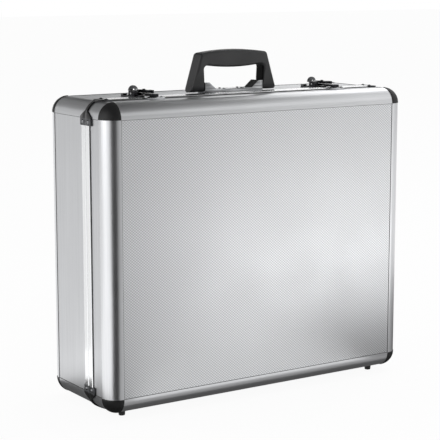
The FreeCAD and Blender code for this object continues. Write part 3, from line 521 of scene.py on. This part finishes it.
plate_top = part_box("base_top_rim")[1].z
for side in ("left", "right"):
    base = softened(f"{side}_latch_base", gunmetal, "case_base", "dark_metal", LATCH_ROUNDING)
    # The plate's low faces are painted the lighter grey: a painted reflection
    base.data.materials.append(lit_gunmetal)
    for face in base.data.polygons:
        face.material_index = 1 if face.center.z <= plate_top + PLATE_MARGIN else 0
    softened(f"{side}_latch_catch", chrome, "lid", "chrome", LATCH_ROUNDING)
    softened(f"{side}_latch_hook", gunmetal, f"{side}_hook", "zinc_steel", LATCH_ROUNDING)
    softened(f"{side}_lock_plug", chrome, f"{side}_plug", "chrome", LATCH_ROUNDING / 2)
    lever = softened(f"{side}_latch_lever", gunmetal, f"{side}_lever", "dark_metal", LATCH_ROUNDING)
    # The tab is painted the lighter grey: a painted highlight
    lever.data.materials.append(lit_gunmetal)
    tab_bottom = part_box(f"{side}_latch_base")[1].z + TAB_MARGIN
    for face in lever.data.polygons:
        face.material_index = 1 if face.center.z > tab_bottom else 0
    pivot = [joint["pos_m"] for joint in frame["joints"] if joint["name"] == f"{side}_lever_pivot"][0]
    low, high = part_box(f"{side}_latch_lever")
    origin = ((low.x + high.x) / 2, pivot[1], pivot[2])
    heads = []
    arms = []
    for way, end in ((-1, low.x), (1, high.x)):
        spot = (end + way * PIN_HEAD["rise"] / 2, pivot[1], pivot[2])
        heads.append(peened_head(spot, (0, way * math.pi / 2, 0), **PIN_HEAD))
        across = sorted(way * place for place in SKIRT_ACROSS)
        arms.append(skirt(*corners(origin, across, SKIRT_ALONG, SKIRT_UP)))
        out, along, up = ARM_HEAD_PLACE
        spot = (origin[0] + way * out, origin[1] + along, origin[2] + up + ARM_HEAD["rise"] / 2)
        arms.append(peened_head(spot, (0, 0, 0), **ARM_HEAD))
    arms.append(new_block(*corners(origin, FLANGE_ACROSS, FLANGE_ALONG, FLANGE_UP)))
    finish_piece(joined(heads), f"{side}_pivot_heads", chrome, f"{side}_lever", "chrome")
    finish_piece(joined(arms), f"{side}_lever_skirts", gunmetal, f"{side}_lever", "dark_metal")

# Lining: foam-backed cloth pads glued inside the panels and walls, each crowned by its foam.
# A short black nap scatters light and hides the foam, and the border is pulled down by the glue.
LINING_COLOURS = ("161618", "242427")
LINING_ROUGHNESS = (0.9, 1.0)
LINING_NAP = {"grain": 0.5 * MM, "depth": 0.05 * MM}
PAD_CUTS = 24
PAD_CROWN = 0.6 * MM
PAD_BORDER = 9 * MM
PAD_PULL = 1.6 * MM
PAD_SMOOTH_ANGLE = math.radians(60)
lining_cloth = moulded_plastic("black_nap_cloth", LINING_COLOURS, LINING_ROUGHNESS, **LINING_NAP)


def pad(low, high, facing):
    # A slab whose inner face is crowned in the middle and drops towards its border
    axis, end = FACINGS[facing][1:]
    inward = -1 if end else 1
    piece = new_block(low, high)
    edit(piece)
    bpy.ops.mesh.subdivide(number_cuts=PAD_CUTS)
    bpy.ops.object.mode_set(mode="OBJECT")
    middle = (low[axis] + high[axis]) / 2
    across = [index for index in range(3) if index != axis]
    for vertex in piece.data.vertices:
        if (vertex.co[axis] - middle) * inward <= 0:
            continue
        near = min(min(vertex.co[at] - low[at], high[at] - vertex.co[at]) for at in across)
        share = min(near / PAD_BORDER, 1.0)
        swell = math.sin(share * math.pi / 2)
        vertex.co[axis] += inward * (PAD_CROWN * swell - PAD_PULL * (1 - swell))
    bpy.ops.object.shade_smooth_by_angle(angle=PAD_SMOOTH_ANGLE)
    return piece


def finish_pad(piece, node, body):
    finish_piece(piece, f"{node}_pad", lining_cloth, body, "lining", node)


for half, body in BODIES.items():
    face = {"lid": "front", "base": "back"}[half]
    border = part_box(f"{face}_lining")
    finish_pad(pad(*border, face), f"{face}_lining", body)
    thick = border[1].y - border[0].y
    low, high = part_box(f"{half}_wall_linings")
    pads = []
    for wall in ("left", "right", "top", "bottom"):
        axis, end = FACINGS[wall][1:]
        start, stop = low.copy(), high.copy()
        for at in (0, 2):
            if at != axis:
                start[at], stop[at] = border[0][at], border[1][at]
        if end:
            start[axis] = stop[axis] - thick
        else:
            stop[axis] = start[axis] + thick
        pads.append(pad(start, stop, wall))
    finish_pad(joined(pads), f"{half}_wall_linings", body)

# Studio: a white paper floor that runs out of sight, under a white world.
# Both are plain white to the lens and in metal, and the floor keeps a share of its own shading, and so
# the case's shadow.
FLOOR_SIZE = 30.0
FLOOR_COLOUR = "F4F4F4"
FLOOR_ROUGHNESS = 0.9
FLOOR_WHITE = 0.94
WORLD_LIGHT = 0.6
WHITE = (1, 1, 1, 1)
BLACK = (0, 0, 0, 1)


def seen_directly(tree):
    # 1 for what the lens sees, also in metal and glass, and 0 for the light that falls on the case
    path = add_node(tree, "ShaderNodeLightPath", {})
    rays = path.outputs["Is Camera Ray"]
    for name in ("Is Glossy Ray", "Is Transmission Ray"):
        either = add_node(tree, "ShaderNodeMath", {0: rays, 1: path.outputs[name]}, operation="MAXIMUM")
        rays = either.outputs[0]
    return rays


floor = new_plane((0, 0, 0), (FLOOR_SIZE, FLOOR_SIZE), (0, 0, 0))
floor.name = "studio_floor"
paper, tree, shader = start_material(
    "white_paper", Roughness=FLOOR_ROUGHNESS, Base_Color=linear(FLOOR_COLOUR))
glow = add_node(tree, "ShaderNodeEmission", {"Color": WHITE, "Strength": 1.0})
share = add_node(tree, "ShaderNodeMath", {0: seen_directly(tree), 1: FLOOR_WHITE}, operation="MULTIPLY")
mix = add_node(tree, "ShaderNodeMixShader", {
    0: share.outputs[0], 1: shader.outputs["BSDF"], 2: glow.outputs["Emission"]})
tree.links.new(mix.outputs["Shader"], tree.nodes["Material Output"].inputs["Surface"])
floor.data.materials.append(paper)

world = bpy.data.worlds.new("white_studio")
bpy.context.scene.world = world
world.use_nodes = True
tree = world.node_tree
level = add_node(tree, "ShaderNodeMapRange", {
    "Value": seen_directly(tree), "To Min": WORLD_LIGHT, "To Max": 1.0})
background = tree.nodes["Background"]
background.inputs["Color"].default_value = WHITE
tree.links.new(level.outputs["Result"], background.inputs["Strength"])

# Lamps: three square softboxes, to the left, above on the right, and in front on the right.
# Each has its place, its size and its power, and is turned to one point in the lower half of the case.
LAMPS = {
    "left_softbox": ((-1.9, 0.1, 0.9), 1.4, 8.0),
    "right_top_softbox": ((1.2, 0.2, 2.3), 1.2, 16.0),
    "front_right_softbox": ((2.0, -3.4, 1.2), 1.2, 18.0),
}
AIM = (0.0, 0.0, 0.2)
for name, (spot, size, power) in LAMPS.items():
    bpy.ops.object.light_add(type="AREA", location=spot)
    lamp = bpy.context.object
    lamp.name = name
    lamp.data.shape = "SQUARE"
    lamp.data.size = size
    lamp.data.energy = power
    away = [a - b for a, b in zip(spot, AIM)]
    tilt = math.atan2(math.hypot(away[0], away[1]), away[2])
    lamp.rotation_euler = (tilt, 0, math.atan2(away[0], -away[1]))

# Reflector cards: dark, grey and bright cards on the floor, behind the lens, on both sides and overhead.
# Only reflections show them, as the dark bands along the metal's edges and the shading of the panel.
# Each has its glow at two places along X, those places, and its corners.
CARDS = {
    "lens_floor_card": ((0.02, 0.02), (0, 1), (
        (-0.22, -0.1, 0.004), (-0.36, -3.0, 0.004), (-3.5, -3.0, 0.004), (-0.3, -0.12, 0.004))),
    "side_floor_card": ((0.52, 0.52), (0, 1), (
        (-0.18, -0.1, 0.003), (1.7, -3.0, 0.003), (-0.36, -3.0, 0.003), (-0.22, -0.1, 0.003))),
    "bright_floor_card": ((2.15, 2.15), (0, 1), (
        (0.16, -0.45, 0.002), (0.87, -0.5, 0.002), (1.5, -1.2, 0.002), (0.64, -1.3, 0.002))),
    "left_floor_card": ((1.3, 1.3), (0, 1), (
        (-0.3, 0.25, 0.001), (-2.6, 0.4, 0.001), (-2.6, -1.2, 0.001), (-0.3, -0.25, 0.001))),
    "right_floor_card": ((0.3, 0.3), (0, 1), (
        (0.2, -0.34, 0.005), (0.8, -0.34, 0.005), (0.8, 0.4, 0.005), (0.2, 0.4, 0.005))),
    # The next two cards are painted shadow: the floor's shadow in front of and under the case, as the
    # metal reflects it
    "skirting_card": ((0.36, 0.36), (0, 1), (
        (-0.3, -0.1, 0.006), (0.5, -0.1, 0.006), (0.5, -0.081, 0.006), (-0.3, -0.081, 0.006))),
    "under_card": ((0.1, 0.1), (0, 1), (
        (-0.3, -0.081, 0.006), (0.5, -0.081, 0.006), (0.5, 0.1, 0.006), (-0.3, 0.1, 0.006))),
    "lens_card": ((0.02, 0.02), (0, 1), (
        (-3.6, -3.0, 0.0), (-0.3, -3.0, 0.0), (-0.3, -3.0, 3.0), (-3.6, -3.0, 3.0))),
    "front_card": ((0.35, 0.95), (1.2, 2.8), (
        (-0.3, -3.0, 0.0), (5.0, -3.0, 0.0), (5.0, -3.0, 3.0), (-0.3, -3.0, 3.0))),
    "left_back_card": ((0.5, 0.5), (0, 1), (
        (-2.6, 1.5, 0.0), (-2.6, 6.0, 0.0), (-2.6, 6.0, 1.9), (-2.6, 1.5, 1.9))),
    "back_ceiling_card": ((0.25, 0.25), (0, 1), (
        (-2.6, 1.9, 1.89), (0.45, 1.9, 1.89), (0.45, 6.0, 1.89), (-2.6, 6.0, 1.89))),
    "right_card": ((0.62, 0.62), (0, 1), (
        (3.3, -3.0, 0.0), (3.3, 4.0, 0.0), (3.3, 4.0, 1.8), (3.3, -3.0, 1.8))),
    "right_ceiling_card": ((2.0, 2.0), (0, 1), (
        (1.08, 0.3, 1.88), (3.3, 0.3, 1.88), (3.3, 6.0, 1.88), (3.2, 6.0, 1.88))),
    "front_ceiling_card": ((0.05, 1.0), (0.9, 1.4), (
        (0.9, -3.0, 1.88), (3.3, -3.0, 1.88), (3.3, 0.3, 1.88), (0.9, 0.3, 1.88))),
    "ceiling_card": ((0.05, 0.05), (0, 1), (
        (-2.5, -3.0, 1.9), (3.2, -3.0, 1.9), (3.2, 6.0, 1.9), (-2.5, 6.0, 1.9))),
}
# The table's corners run round a card, and those of a new plane run in rows
CARD_ORDER = (0, 1, 3, 2)
for name, (glow, along, edge) in CARDS.items():
    card = new_plane((0, 0, 0), (1, 1), (0, 0, 0))
    card.name = name
    for vertex, at in zip(card.data.vertices, CARD_ORDER):
        vertex.co = edge[at]
    card.visible_camera = False
    card.visible_diffuse = False
    card.visible_shadow = False
    cloth, tree, shader = start_material(
        f"{name}_cloth", Roughness=1.0, Base_Color=BLACK, Specular_IOR_Level=0.0, Emission_Color=WHITE)
    place = add_node(tree, "ShaderNodeTexCoord", {}).outputs["Object"]
    apart = add_node(tree, "ShaderNodeSeparateXYZ", {"Vector": place})
    fade = add_node(tree, "ShaderNodeMapRange", {
        "Value": apart.outputs["X"], "From Min": along[0], "From Max": along[1],
        "To Min": glow[0], "To Max": glow[1]})
    tree.links.new(fade.outputs["Result"], shader.inputs["Emission Strength"])
    card.data.materials.append(cloth)

# Camera: left of the front and a little above the top, with a long lens, as the photograph was taken.
# Its place is in metres, its turn in degrees, and its lens and sensor in millimetres.
CAMERA_PLACE = (-1.0666, -1.5947, 0.5435)
CAMERA_TURN = (80.449, 0, -33.349)
CAMERA_LENS = 120.78
CAMERA_SENSOR = 36
bpy.ops.object.camera_add(
    location=CAMERA_PLACE, rotation=[math.radians(angle) for angle in CAMERA_TURN])
camera = bpy.context.object
camera.data.lens = CAMERA_LENS
camera.data.sensor_width = CAMERA_SENSOR
bpy.context.scene.camera = camera
bpy.context.scene.view_settings.view_transform = "Standard"
